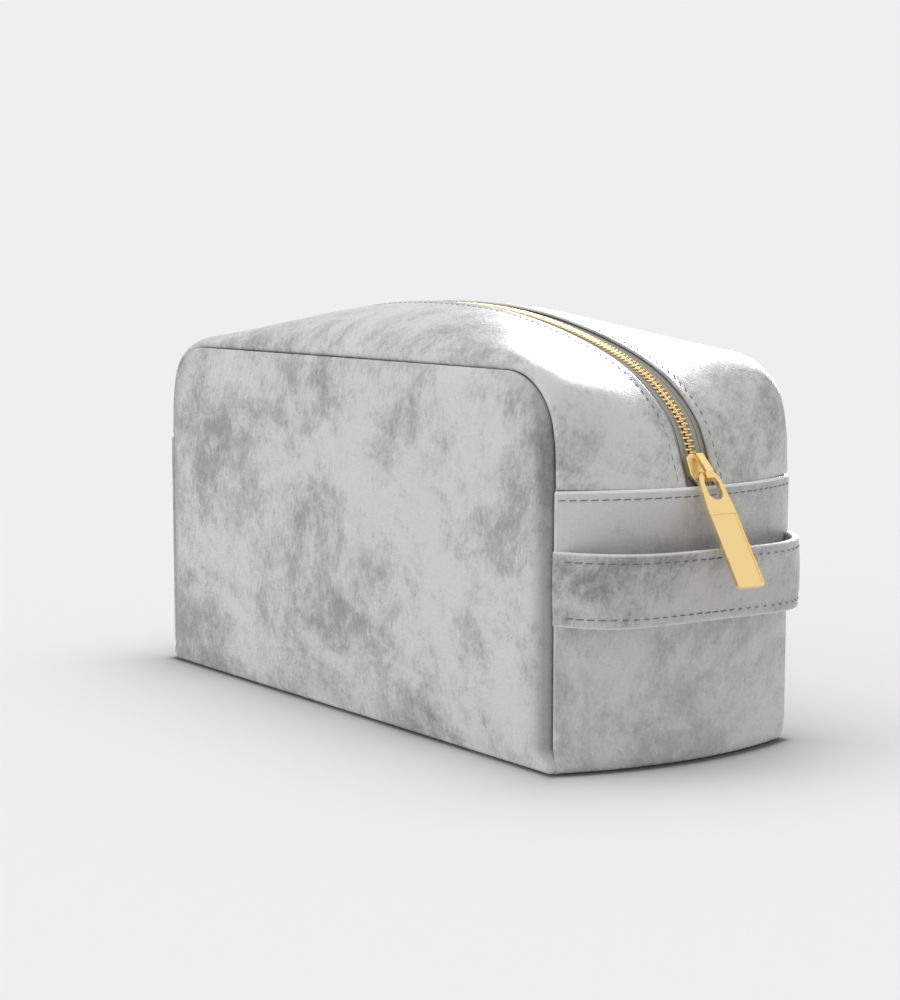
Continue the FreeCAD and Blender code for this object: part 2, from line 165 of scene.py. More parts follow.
# Thread.
stitch_length = 3 * mm
stitch_pitch = 3.6 * mm
stitch_inset = 3 * mm
stitch_groove = 0.7 * mm
stitch_skew = 0.06
row_margin = 1 * mm
thread_radius = 0.17 * mm

# How finely the surfaces are divided.
top_steps = 241
side_steps = 44
corner_steps = 14
bottom_steps = 100
roll_steps = 7
fold_steps = 6


# ---- small helpers

def unit(vectors):
    """Each vector divided by its length."""
    return vectors / np.linalg.norm(vectors, axis=-1, keepdims=True)


def smooth(values):
    """Smoothstep: 3t^2 - 2t^3 of the values held between 0 and 1."""
    t = np.clip(values, 0, 1)
    return t * t * (3 - 2 * t)


def mix(a, b, share):
    return a + (b - a) * share


def hump(values, centre, width):
    """Bell curve of height one."""
    return np.exp(-((values - centre) / width) ** 2)


def join(*parts, axis=0):
    return np.concatenate(parts, axis=axis)


def at(*parts):
    """Points from their separate coordinates, each spread to the shape of all."""
    return np.stack(np.broadcast_arrays(*parts), axis=-1)


def run_along(line):
    """Distance along a line at each of its points."""
    return join([0], np.cumsum(np.linalg.norm(np.diff(line, axis=0), axis=1)))


def line_length(line):
    return np.linalg.norm(np.diff(line, axis=0), axis=1).sum()


def read_at(values, run, places):
    """Each column of values, read straight between its points."""
    return at(*[np.interp(places, run, column) for column in values.T])


def resample(line, shares):
    """Points at the given shares of a line's length."""
    run = run_along(line)
    return read_at(line, run, shares * run[-1])


def there_and_back(side):
    return join(side, side[::-1])


def flat_to_space(line, y):
    """Points given in X and Z, set at their Y."""
    return at(line[..., 0], y, line[..., 1])


def facing(sign):
    """Factors that leave a front shape (-1) as it is, or mirror it to the back (1)."""
    return np.array([1, -sign, 1])


def ripple(a, b, seed):
    """Soft uneven swell between about -1 and 1: a sum of seven plane sine waves of unlike lengths."""
    random = np.random.default_rng(seed)
    total = 0
    for _ in range(7):
        length = random.uniform(28, 90) * mm
        angle = random.uniform(0, math.tau)
        phase = random.uniform(0, math.tau)
        total = total + np.sin(math.tau / length * (a * math.cos(angle) + b * math.sin(angle)) + phase)
    return total / 3.2


# ---- meshes

def wrap_quads(rows, columns):
    """Quads over a grid whose columns close into a loop."""
    row, column = np.meshgrid(np.arange(rows - 1) * columns, np.arange(columns), indexing="ij")
    after = (column + 1) % columns
    quads = at(row + column, row + after, row + columns + after, row + columns + column)
    return quads.reshape(-1, 4)


def band_faces(rows, columns):
    """A loop carried along a path. Each end is closed by quads across the loop, column to partner."""
    column = np.arange(columns // 2 - 1)
    cap = at(column, column + 1, columns - 2 - column, columns - 1 - column)
    return [wrap_quads(rows, columns), cap[:, ::-1], cap + (rows - 1) * columns]


def ball_faces(rows, columns):
    """Rings closed at both ends by a fan round a pole; the two poles come last."""
    column = np.arange(columns)
    after = (column + 1) % columns
    pole = rows * columns
    start = at(after, column, pole)
    finish = at(pole - columns + column, pole - columns + after, pole + 1)
    return [wrap_quads(rows, columns), start, finish]


def signed_volume(points, face_sets):
    """Sum of the tetrahedra between the origin and each face's fan of triangles, times six."""
    total = 0.0
    for faces in face_sets:
        for corner in range(1, faces.shape[1] - 1):
            a, b, c = points[faces[:, 0]], points[faces[:, corner]], points[faces[:, corner + 1]]
            total += np.einsum("ij,ij->", a, np.cross(b, c))
    return total


def make_piece(name, points, face_sets, flat, marks=None):
    """Mesh object at the origin from points, sets of equal-sided faces, a flat layout and point marks."""
    if signed_volume(points, face_sets) < 0:
        face_sets = [faces[:, ::-1] for faces in face_sets]
    corners = join(*[faces.ravel() for faces in face_sets])
    sides = join(*[np.full(len(faces), faces.shape[1]) for faces in face_sets])
    mesh = bpy.data.meshes.new(name)
    mesh.vertices.add(len(points))
    mesh.vertices.foreach_set("co", points.astype(np.float32).ravel())
    mesh.loops.add(len(corners))
    mesh.loops.foreach_set("vertex_index", corners.astype(np.int32))
    mesh.polygons.add(len(sides))
    mesh.polygons.foreach_set("loop_start", join([0], np.cumsum(sides)[:-1]).astype(np.int32))
    mesh.polygons.foreach_set("use_smooth", np.ones(len(sides), dtype=bool))
    mesh.update(calc_edges=True)
    layout = mesh.uv_layers.new(name="flat")
    layout.data.foreach_set("uv", flat[corners].astype(np.float32).ravel())
    for mark, values in (marks or {}).items():
        attribute = mesh.attributes.new(mark, "FLOAT", "POINT")
        attribute.data.foreach_set("value", values.astype(np.float32).ravel())
    mesh.validate()
    return link(bpy.data.objects.new(name, mesh))


def link(thing):
    bpy.context.scene.collection.objects.link(thing)
    return thing


def band_piece(name, loop, first, second, marks=None):
    """Piece from loops carried along a path, laid out flat by its two running lengths."""
    flat = at(first, second).reshape(-1, 2)
    return make_piece(name, loop.reshape(-1, 3), band_faces(*loop.shape[:2]), flat, marks)


# ---- the bag's own surfaces

def seam_line():
    """Top seam in X and Z: up one side, a quarter circle, along the top, and the same going down."""
    turn = np.linspace(0, math.pi / 2, 60)
    x = join([half_length], half_length - corner_radius + corner_radius * np.cos(turn))
    z = join([top_start], seam_height - corner_radius + corner_radius * np.sin(turn))
    right = at(x, z)
    return join(right, right[::-1] * (-1, 1))


def crown_line():
    """Middle of the top in X and Z: a superellipse, x = a cos(t)^(2/n), z = c + b sin(t)^(2/n).

    Its two shoulders stand further out along the normal, by a smooth step up and a smooth step down.
    """
    rise = crown_height - belly_height
    first = math.asin(((top_start - belly_height) / rise) ** (crown_power / 2))
    turn = np.linspace(first, math.pi - first, 901)
    side = np.cos(turn)
    x = (half_length + end_bulge) * np.sign(side) * np.abs(side) ** (2 / crown_power)
    z = belly_height + rise * np.sin(turn) ** (2 / crown_power)
    along = unit(np.gradient(at(x, z), axis=0))
    full = smooth((z - shoulder_low) / shoulder_rise) * (1 - smooth((z - shoulder_high) / shoulder_fall))
    return at(x, z) + at(along[:, 1], -along[:, 0]) * (shoulder_out * full)[:, None]


def top_lines(shares):
    """Seam points at shares of its length, and their bulge to the middle of the top."""
    seam = resample(seam_line(), shares)
    return seam, resample(crown_line(), shares) - seam


def crown_reach(height):
    """How far the superellipse stands out at a height."""
    rise = np.clip((height - belly_height) / (crown_height - belly_height), 0, 1)
    return (half_length + end_bulge) * (1 - rise ** crown_power) ** (1 / crown_power)


def panel_bulge(height):
    """How far the end panel stands out of the seams at its middle: base plus growth times share^n."""
    share = np.maximum(height, 0) / end_panel_top
    return panel_bulge_base + (panel_bulge_top - panel_bulge_base) * share ** panel_bulge_power


def end_face(height, across):
    """An end from seam to seam: x = half length + bulge (1 - v^2), with its outward normals."""
    bulge = panel_bulge(height)
    face = at(half_length + bulge * (1 - across ** 2), across * half_width, height)
    return face, unit(at(1, 2 * bulge * across / half_width, 0))


def top_stations():
    """Seam points, their bulge to the middle, and how far each is tucked behind the end panel.

    The top runs on down behind the end panels, where it follows their inner face.
    """
    seam, proud = top_lines(np.linspace(0, 1, top_steps))
    heights = np.array([tail_low, mix(tail_low, tail_tucked, 0.5), tail_tucked,
                        mix(tail_tucked, top_start, 0.35), mix(tail_tucked, top_start, 0.7)])
    hidden = smooth((top_start - heights) / (top_start - tail_tucked))
    tail = at(half_length, heights)
    tail_proud = at(mix(crown_reach(heights) - half_length, panel_bulge(heights), hidden), 0)
    seam = join(tail, seam, tail[::-1] * (-1, 1))
    proud = join(tail_proud, proud, tail_proud[::-1] * (-1, 1))
    tucked = join(hidden, np.zeros(top_steps), hidden[::-1]) * tuck_depth
    return seam, proud, tucked[:, None]


def puff_out(seam):
    """How the padding of the top stands out at each seam point: away from the seam's inner box, by height."""
    inner = np.clip(seam[:, 0], corner_radius - half_length, half_length - corner_radius)
    level = np.clip(seam[:, 1], corner_radius, seam_height - corner_radius)
    return unit(seam - at(inner, level)) * (puff * smooth((seam[:, 1] - puff_low) / puff_rise))[:, None]


def skin(seam, proud, across):
    """Skin between the two seams: seam + bulge (1 - v^2) + puff (v^2 - v^10), v from -1 in front to 1 behind.

    Returns the points and their outward normals, rows along the seam and columns across.
    """
    bulge, padding, v = proud[:, None], puff_out(seam)[:, None], across[..., None]
    flat = seam[:, None] + bulge * (1 - v * v) + padding * (v ** 2 - v ** 10)
    slope = bulge * (-2 * v) + padding * (2 * v - 10 * v ** 9)
    points = flat_to_space(flat, across * half_width)
    return points, unit(np.cross(flat_to_space(slope, half_width), np.gradient(points, axis=0)))


def leather_at(distance, height):
    """Leather thickness at a distance from the zip's slot: skived thin at the slot, full further out.

    Down by the slider it is full thickness everywhere.
    """
    shallow = smooth((height - fold_height - skive_low) / skive_rise)
    return mix(leather, mix(skived, leather, smooth(distance / skive_reach)), shallow)


def seam_directions(seam, proud, closed):
    """At each seam point: into the flat panel, into the skin, and between the two."""
    if closed:
        run = np.roll(seam, -1, axis=0) - np.roll(seam, 1, axis=0)
    else:
        run = np.gradient(seam, axis=0)
    tangent = unit(flat_to_space(run, 0.0))
    into_panel = at(-tangent[:, 2], 0, tangent[:, 0])
    into_skin = flat_to_space(2 * proud + 8 * puff_out(seam), half_width)
    into_skin = unit(into_skin - tangent * np.sum(into_skin * tangent, axis=1, keepdims=True))
    return into_panel, into_skin, unit(into_panel + into_skin)


def rolled(start, apex, finish):
    """Circular arc that leaves towards the apex and arrives from it: a rational quadratic curve.

    ((1-t)^2 A + 2w t(1-t) S + t^2 B) / ((1-t)^2 + 2w t(1-t) + t^2), w the sine of half the angle at S.
    """
    a, b = unit(start - apex), unit(finish - apex)
    weight = np.sqrt((1 - np.sum(a * b, axis=-1, keepdims=True)) / 2)[:, None, :]
    t = np.linspace(0, 1, roll_steps)[None, :, None]
    parts = ((1 - t) ** 2, 2 * weight * t * (1 - t), t ** 2)
    total = parts[0] * start[:, None] + parts[1] * apex[:, None] + parts[2] * finish[:, None]
    return total / (parts[0] + parts[1] + parts[2])


def under_line(heights, floor_steps, reach_at):
    """Down the left end, along the floor and up the right end in X and Z, with the bulge that meets it."""
    turn = np.linspace(0, math.pi / 2, corner_steps + 1)[1:]
    inner = half_length - base_corner
    x = join(np.full(len(heights), half_length), inner + base_corner * np.cos(turn))
    z = join(heights, base_corner - base_corner * np.sin(turn))
    left, left_proud = at(-x, z), at(-reach_at(z), 0)
    floor_x = np.linspace(-inner, inner, floor_steps)[1:-1]
    path = join(left, at(floor_x, 0), left[::-1] * (-1, 1))
    proud = join(left_proud, at(floor_x / inner * panel_bulge_base, 0), left_proud[::-1] * (-1, 1))
    return path, proud


def wrap_share(seam):
    """0 where the seam stands on the edge, 1 at the bottom, where the panel wraps under the bag."""
    return smooth((wrap_start - seam[:, 1:]) / (wrap_start - wrap_full))


# ---- leather

def leather_panel(name, sign, seed):
    """Front or back panel: rings from its middle to its outline, a rolled edge, and a flat back.

    The face swells by pillow (1 - r^2)^1.5 + rise (1 - exp(-d / reach)) with a slow ripple, where d is the
    distance from the edge. Along the bottom the edge rolls wider and wraps under to meet the base.
    """
    top, top_proud = top_lines(np.linspace(0, 1, top_steps))
    under, under_proud = under_line(np.linspace(top_start, base_corner, side_steps + 1)[1:], bottom_steps,
                                    lambda z: np.minimum(panel_bulge(z), crown_reach(z) - half_length))
    outline, proud = join(top, under)[:-1], join(top_proud, under_proud)[:-1]
    seam = flat_to_space(outline, -half_width)
    into_panel, into_skin, between = seam_directions(outline, proud, True)
    wrap = wrap_share(outline)
    roll = mix(mix(panel_top_roll, panel_roll, np.abs(into_panel[:, :1])), bottom_wrap, wrap)
    edge = seam + into_panel * roll
    towards = unit(unit(mix(between, into_skin, wrap)) + seam_apart * into_panel)
    foot = seam + towards * roll
    tuck = foot + unit(mix(between, into_panel, wrap)) * seam_tuck
    # The face, ring by ring from the middle outwards.
    middle = np.array([0, -half_width, seam_height / 2])
    radii = (1 - np.linspace(0, 1, 52)[:-1][::-1] ** 1.8)[:, None]
    face = middle + (edge - middle) * radii[..., None]
    from_side = np.maximum(half_length - panel_roll - np.abs(face[..., 0]), 0.1 * mm)
    from_floor = np.maximum(face[..., 2] - bottom_wrap, 0.1 * mm)
    depth_in = np.sum((middle - edge) * into_panel, axis=1)
    from_edge = np.minimum((1 - radii) * depth_in, (from_side ** -3 + from_floor ** -3) ** (-1 / 3))
    swell = panel_pillow * (1 - radii ** 2) ** 1.5 + edge_rise * (1 - np.exp(-from_edge / edge_reach))
    fade = 1 - smooth((radii - 0.75) / 0.25)
    face[..., 1] -= swell + panel_wave * fade * ripple(face[..., 0], face[..., 2], seed)
    # The rolled edge, the tuck into the seam and the flat back.
    turned = rolled(edge, seam, foot).transpose(1, 0, 2)[1:]
    inward = np.array([0, leather, 0])
    back_edge = edge + inward
    hidden = mix(tuck + into_panel * seam_lap, back_edge, np.linspace(0, 1, 4)[:, None, None])
    back = middle + inward + (back_edge - middle - inward) * np.linspace(1, 0, 9)[1:-1, None, None]
    rings = join(face, turned, tuck[None], hidden, back)
    rings[..., 2] = np.maximum(rings[..., 2], 0)
    rows, columns = rings.shape[:2]
    full = panel_pillow + edge_rise + panel_wave * ripple(middle[0], middle[2], seed)
    points = join(rings.reshape(-1, 3), [middle - np.array([0, full, 0]), middle + inward])
    # Painted shade: a mark that darkens the face's colour along its sides, where it turns down into the side
    # seams.
    painted_seam_shade = np.tile(np.abs(into_panel[:, 0]) * (1 - wrap[:, 0]), (rows, 1))
    painted_seam_shade[:len(face)] *= np.exp(-(from_edge / painted_seam_shade_reach) ** 1.5)
    inside = np.zeros((rows, columns))
    inside[-len(hidden) - len(back):] = 1
    marks = {"painted_seam_shade": np.append(painted_seam_shade, [0, 0]), "inside": np.append(inside, [0, 1])}
    return make_piece(name, points * facing(sign), ball_faces(rows, columns), points[:, [0, 2]], marks)


def top_half(name, sign, seed):
    """Half of the top: rolled into the seam, swelling to the zip, and folded under beside it.

    Outer face at depth 0 with a groove along its stitches; the fold is a half circle one leather deep.
    """
    seam, proud, tucked = top_stations()
    _, into_skin, between = seam_directions(seam, proud, False)
    height = (seam + proud)[:, 1:]
    radius = leather_at(0, height) / 2
    fold_y = slot_half + radius
    across = -mix(half_width - seam_roll * into_skin[:, 1:2], fold_y, np.linspace(0, 1, 40)) / half_width
    points, normals = skin(seam, proud, across)
    distance = -across * half_width - slot_half
    groove = top_groove * hump(distance, stitch_inset, stitch_groove)
    lift = zip_lift * hump(distance, zip_lift_at, zip_lift_at)
    fade = smooth((half_width - 12 * mm + across * half_width) / (20 * mm)) * smooth(distance / (9 * mm))
    run = run_along(seam)[:, None]
    depth = groove - lift + top_wave * fade * ripple(run, across * half_width, seed) + tucked
    outer = points - normals * depth[..., None]
    deep = tucked * normals[:, 0]
    corner = flat_to_space(seam, -half_width) - deep
    foot = corner + unit(between + seam_apart * into_skin) * seam_roll
    tuck = foot + between * seam_tuck
    turned = rolled(foot, corner, points[:, 0] - deep)
    turn = np.linspace(0, fold_turn, fold_steps)[1:]
    edge_points, edge_normals = skin(seam, proud, -(fold_y - radius * np.sin(turn)) / half_width)
    curl = radius * (1 - np.cos(turn)) - fold_plump * np.cos(turn) + tucked
    folded = edge_points - edge_normals * curl[..., None]
    under_fold = edge_points - edge_normals * (radius * (1 + np.cos(turn)) + tucked)[..., None]
    under = points - normals * (leather_at(distance, height) + tucked)[..., None]
    hidden = mix((tuck + into_skin * seam_lap)[:, None], under[:, :1],
                 np.linspace(0, 1, roll_steps + 1)[:-1, None])
    face = join(tuck[:, None], turned[:, :-1], outer, folded, axis=1)
    back = join(hidden, under, under_fold, axis=1)[:, ::-1]
    side = there_and_back(run_along(face[len(seam) // 2]))
    inside = np.tile(np.repeat([0.0, 1.0], face.shape[1]), len(seam))
    return band_piece(name, join(face, back, axis=1) * facing(sign), run, side, {"inside": inside})


def end_strip(name):
    """One strip of leather up both ends and under the base, rolled into the seams at its two sides.

    Across it x and z are path + bulge (1 - v^2). At each top edge it is folded over: extra rows follow a
    half circle one leather thick.
    """
    path, proud = under_line(np.linspace(end_panel_top - leather / 2, base_corner, 64), 60, panel_bulge)
    into_panel, into_skin, between = seam_directions(path, proud, False)
    wrap = wrap_share(path)
    apex = flat_to_space(path, -half_width) + into_skin * bottom_wrap * wrap
    roll = mix(strip_roll, strip_floor_roll, wrap)
    away = unit(mix(between, into_panel, wrap))
    edge = apex + into_skin * roll
    foot = apex + unit(away + seam_apart * into_skin) * roll
    tuck = foot + away * seam_tuck
    across = -edge[:, 1:2] / half_width * np.linspace(-1, 1, 49)[1:-1]
    swell = 1 - across * across
    face = at(path[:, :1] + proud[:, :1] * swell, across * half_width, path[:, 1:] + proud[:, 1:] * swell)
    normals = unit(np.cross(np.gradient(face, axis=1), np.gradient(face, axis=0)))
    # The hem's groove and edge, and slow waves in the open leather.
    below_top = end_panel_top - path[:, 1:]
    on_end = smooth((path[:, 1:] - base_corner) / (10 * mm))
    hem = hem_groove * (hump(below_top, stitch_inset, stitch_groove) - hump(below_top, 1.0 * mm, 1.1 * mm))
    fade = (1 - smooth((np.abs(across) - 0.6) / 0.35)) * (on_end * smooth(below_top / (14 * mm)))
    waves = end_wave * fade * ripple(across * half_width, run_along(path)[:, None], 5)
    face = face - normals * (hem * on_end + waves)[..., None]
    back = face - normals * leather
    front_edge = join(tuck[:, None], rolled(foot, apex, edge), axis=1)
    hidden = mix((tuck + into_skin * seam_lap)[:, None], back[:, :1],
                 np.linspace(0, 1, roll_steps + 2)[:-1, None])
    outer = join(front_edge, face, front_edge[:, ::-1] * facing(1), axis=1)
    inner = join(hidden, back, hidden[:, ::-1] * facing(1), axis=1)
    turn = np.linspace(0, fold_turn, fold_steps + 1)[1:, None, None]

    def folded(row, side):
        """Rows round the fold of an end, on its outer side (1) or its inner side (-1)."""
        middle, reach = (outer[row] + inner[row]) / 2, (outer[row] - inner[row]) / 2
        return middle + side * reach * np.cos(turn) + np.array([0, 0, leather / 2]) * np.sin(turn)

    front = join(folded(0, 1)[::-1], outer, folded(-1, 1))
    rear = join(folded(0, -1)[::-1], inner, folded(-1, -1))
    loop = join(front, rear[:, ::-1], axis=1)
    loop[..., 2] = np.maximum(loop[..., 2], 0)
    rows, columns = loop.shape[:2]
    run = run_along(front[:, columns // 4])[:, None]
    side = there_and_back(run_along(front[rows // 4]))
    # The folded top edges are marked pale: partly edge paint, partly a painted highlight.
    pale = np.zeros(rows)
    pale[:fold_steps] = 1
    pale[-fold_steps:] = 1
    pale = np.repeat(pale, columns)
    inside = np.tile(np.repeat([0.0, 1.0], columns // 2), rows) * (1 - pale)
    return band_piece(name, loop, side, run, {"edge": pale, "inside": inside})


def strap_face(height, across):
    """Outer face of the strap: x = foot + bow (1 - |v|^n), the bow growing with height."""
    share = (height - strap_bottom) / (strap_top - strap_bottom)
    low_bow = panel_bulge(strap_bottom) + finger_gap_bottom
    high_bow = panel_bulge(strap_top) + finger_gap_top
    bow = mix(low_bow, high_bow, share) + strap_thickness - strap_foot
    power = mix(strap_power_bottom, strap_power_top, share)
    return half_length + strap_foot + bow * (1 - np.abs(across) ** power)


def handle_strap(name):
    """Strap: a rounded flat section carried along the bow, both ends tucked into the end seams.

    The section is padded by a third of a millimetre between its two stitch lines.
    """
    reach = half_width - strap_end
    spread = np.sin(np.linspace(-math.pi / 2, math.pi / 2, 121))
    across = (mix(np.linspace(-1, 1, 121), spread, 0.6) * reach / half_width)[:, None]
    turn = np.linspace(0, math.pi / 2, 5)
    low = strap_bottom + strap_round - strap_round * np.sin(turn[::-1][:-1])
    straight = np.linspace(strap_bottom + strap_round, strap_top - strap_round, 25)
    high = strap_top - strap_round + strap_round * np.sin(turn[1:])
    heights = join(low, straight, high)
    rounding = strap_round * (1 - np.cos(join(turn[::-1][:-1], 0 * straight, turn[1:])))
    from_edge = np.minimum(heights - strap_bottom, strap_top - heights)
    padding = strap_pad * smooth((from_edge - stitch_inset) / strap_pad_rise)
    padding = padding - strap_groove * hump(from_edge, stitch_inset, strap_groove_width)
    x = strap_face(heights, across)
    step = 1e-4
    slope = (strap_face(heights, across + step) - x) / (step * half_width)
    out = unit(at(1, -slope, 0))
    centre = at(x, across * half_width, heights)
    outer = centre + out * (padding - rounding)[:, None]
    inner = centre - out * (strap_thickness - rounding)[:, None]
    panel = half_length + panel_bulge(heights) * (1 - (inner[..., 1] / half_width) ** 2) + strap_clear
    inner[..., 0] = np.maximum(inner[..., 0], panel)
    inner[..., 0] = np.minimum(inner[..., 0], outer[..., 0] - 0.3 * mm)
    # The ends bend round into the seams.
    sink = strap_sink * smooth((np.abs(across) * half_width - (reach - strap_turn)) / strap_turn)
    outer[..., 0] -= sink
    inner[..., 0] -= sink * 1.2
    # The strap's rounded edges are marked pale: partly edge paint, partly a painted highlight.
    pale = np.tile(there_and_back(smooth(1 - from_edge / (1.0 * mm))), len(outer))
    run = run_along(outer[:, 14])[:, None]
    loop = join(outer, inner[:, ::-1], axis=1)
    return band_piece(name, loop, run, there_and_back(heights), {"edge": pale})


# ---- cloth

def cloth(name, face, normals, turn, thickness):
    """Thin closed sheet, turned to its side: a grid of points and the same grid one thickness behind it."""
    rows, columns = face.shape[:2]
    face, normals = face * turn, normals * turn
    loop = join(face, (face - normals * thickness)[:, ::-1], axis=1)
    side = there_and_back(run_along(face[rows // 2]))
    return band_piece(name, loop, run_along(face[:, columns // 2])[:, None], side)


def lining_cloth(name, face, normals, turn):
    """A lining piece: a thin sheet of lining cloth."""
    piece = cloth(name, face, normals, turn, lining)
    return piece


def creased(depth, a, b, seed):
    """Creases from 0 to the given depth, by a ripple."""
    return depth * (0.5 + 0.5 * ripple(a, b, seed))


def side_lining(name, sign, seed):
    """Flat lining inside the front or back: as wide at each height as its rounded top corners let it be."""
    z = np.linspace(lining_foot, seam_height - lining_inset, 61)
    over = np.maximum(z - (seam_height - corner_radius), 0)
    reach = half_length - corner_radius + np.sqrt((corner_radius - lining_inset) ** 2 - over ** 2)
    share = np.linspace(-1, 1, 91)[:, None]
    x = share * reach
    creases = creased(0.35 * mm * (1 - share ** 4), x, 2 * z, seed)
    face = at(x, creases - (half_width - leather - layer_gap), z)
    normals = np.array([0, -1, 0]) + 0 * face
    return lining_cloth(name, face, normals, facing(sign))


def top_lining(name, sign, seed):
    """Lining under half of the top, at one depth below the leather."""
    seam, proud, _ = top_stations()
    inside = np.flatnonzero(seam[:, 1] >= top_start)[3:-3]
    across = -np.linspace(45 * mm, slot_half + 0.8 * mm, 41) / half_width
    points, normals = skin(seam[inside], proud[inside], across)
    run = np.arange(len(inside))[:, None] * 1.3 * mm
    creases = creased(0.25 * mm, run, across * half_width, seed)
    face = points - normals * (tape_depth + tape_thickness + layer_gap + creases)[..., None]
    return lining_cloth(name, face, normals, facing(sign))


def end_lining(name, side, seed):
    """Lining inside an end, at one depth behind the end panel."""
    heights = np.linspace(lining_foot, end_panel_top - 0.4 * mm, 51)[:, None]
    face, normals = end_face(heights, np.linspace(-0.9, 0.9, 51))
    creases = creased(0.3 * mm, face[..., 1], face[..., 2], seed)
    face = face - normals * (leather + layer_gap + creases)[..., None]
    return lining_cloth(name, face, normals, (side, 1, 1))


def base_lining(name, seed):
    """Lining on the floor of the bag, its ends following the end panels."""
    across = np.linspace(-1, 1, 41)
    reach = half_length + panel_bulge_base * (1 - across ** 2) - base_cloth_short
    x = np.linspace(-1, 1, 91)[:, None] * reach
    y = across * base_cloth_half
    face = at(x, y, lining_foot - 0.5 * mm + 0.3 * mm * ripple(x, y, seed))
    return lining_cloth(name, face, np.array([0, 0, 1]) + 0 * face, 1)


def zip_tape(name, sign):
    """Woven tape beside the teeth, with a rolled cord along the edge that the teeth grip."""
    seam, proud, tucked = top_stations()
    reach = join(np.linspace(tape_edge, tape_cord, 7), np.linspace(tape_cord, tape_reach, 26)[1:])
    points, normals = skin(seam, proud, -reach / half_width)
    ridge = tape_ridge * hump(reach, tape_ridge_at, tape_ridge_width)
    cover = leather_at(np.maximum(reach - slot_half, 0), (seam + proud)[:, 1:])
    face = points - normals * (cover + tape_gap - ridge + tucked)[..., None]
    return cloth(name, face, normals, facing(sign), tape_thickness)


# ---- zip and thread

def chain_places(distances_from):
    """Places along the zip's middle, from a function that turns its length into distances."""
    seam, proud = top_lines(np.linspace(0, 1, 1601))
    points, normals = skin(seam, proud, np.array([0.0]))
    plane = leather_at(0, (seam + proud)[:, 1:]) + tape_gap + tape_thickness / 2
    line = points[:, 0] - normals[:, 0] * plane
    length = line_length(line)
    shares = distances_from(length) / length
    along = unit(resample(np.gradient(line, axis=0), shares))
    return resample(line, shares), along, at(along[:, 2], 0, -along[:, 0])


def placed(template, places, along, across, out):
    """A template's points set down at each place, along its three directions."""
    copies = (places[:, None] + template[None, :, :1] * along[:, None]
              + template[None, :, 1:2] * across[:, None] + template[None, :, 2:] * out[:, None])
    return copies.reshape(-1, 3)


def repeated(face_sets, count, size):
    shift = (np.arange(count) * size)[:, None, None]
    return [(faces[None] + shift).reshape(-1, faces.shape[1]) for faces in face_sets]


def closed_rings(rings):
    """Points and faces of rings with a pole in the middle of each end ring."""
    return join(rings.reshape(-1, 3), rings[[0, -1]].mean(axis=1)), ball_faces(*rings.shape[:2])


def rounded_bar(stations, widths, heights, lift, around, sign):
    """Closed bar along Y: a squared oval at each station, x = w cos, z = lift + h sin, poles at its ends."""
    turn = np.arange(around) / around * math.tau + math.pi / around
    wave_x = np.sign(np.cos(turn)) * np.abs(np.cos(turn)) ** 0.6
    wave_z = np.sign(np.sin(turn)) * np.abs(np.sin(turn)) ** 0.6
    stations, widths, heights = (np.array([part]).T * mm for part in (stations, widths, heights))
    return closed_rings(at(widths * wave_x, stations * sign, heights * wave_z + lift))


def metal_piece(name, template, faces, distances):
    """Copies of a template set down along the zip's middle."""
    places, along, out = chain_places(distances)
    points = placed(template, places, along, np.array([[0.0, 1.0, 0.0]]), out)
    return make_piece(name, points, repeated(faces, len(places), len(template)), points[:, [0, 1]])


def zip_teeth(name, sign):
    """One row of teeth: a clamp over the tape's edge that narrows to a head across the centre."""
    template, faces = rounded_bar([-0.75, -0.55, 0.1, 0.7, 1.1, 2.1, 2.35],
                                  [0.22, 0.44, 0.46, 0.30, 0.40, 0.42, 0.25],
                                  [0.7, 1.05, 1.15, 1.0, 1.1, 1.05, 0.75], 0.0, 8, sign)

    def distances(length):
        """Every half pitch along the zip, of which each row has every second one."""
        count = int((length - 2 * chain_end) / (tooth_pitch / 2))
        every = (length - count * tooth_pitch / 2) / 2 + np.arange(count + 1) * tooth_pitch / 2
        return every[0::2] if sign < 0 else every[1::2]

    return metal_piece(name, template, faces, distances)


def zip_stop(name, sign, from_start):
    """Stop: a small rounded metal block pressed on the tape's edge."""
    template, faces = rounded_bar([1.0, 1.15, 2.5, 2.65], [0.9, 1.2, 1.2, 0.9], [0.55, 0.8, 0.8, 0.55],
                                  0.3 * mm, 12, sign)
    return metal_piece(name, template, faces,
                       lambda length: np.array([stop_end if from_start else length - stop_end]))


def thread_template():
    """One stitch: a round thread, y = r cos, z = r sin + lift - dip s^4, that dips in at both ends."""
    share = np.array([[-1, -0.92, -0.6, 0, 0.6, 0.92, 1]]).T
    radius = thread_radius * np.array([[0.35, 0.8, 1, 1.05, 1, 0.8, 0.35]]).T
    turn = np.arange(6) / 6 * math.tau
    z = radius * np.sin(turn) + (0.12 * mm - 0.3 * mm * share ** 4)
    return closed_rings(at(share * stitch_length / 2, radius * np.cos(turn), z))


def stitch_row(line, normals, turn, sunk):
    """Stitches at one pitch along a line, turned to its side, lying sunk in the leather."""
    normals = normals * turn
    line = line * turn - normals * sunk
    length = line_length(line)
    count = int((length - 2 * row_margin) / stitch_pitch)
    shares = ((length - count * stitch_pitch) / 2 + np.arange(count + 1) * stitch_pitch) / length
    along = unit(resample(np.gradient(line, axis=0), shares))
    out = read_at(normals, run_along(line) / length, shares)
    out = unit(out - along * np.sum(out * along, axis=1, keepdims=True))
    along = unit(along + np.cross(out, along) * stitch_skew)
    template, _ = thread_template()
    return placed(template, resample(line, shares), along, np.cross(out, along), out)


def stitches(name, *rows):
    """Rows of stitches as one piece."""
    template, faces = thread_template()
    points = join(*rows)
    return make_piece(name, points, repeated(faces, len(points) // len(template), len(template)),
                      points[:, [0, 2]])


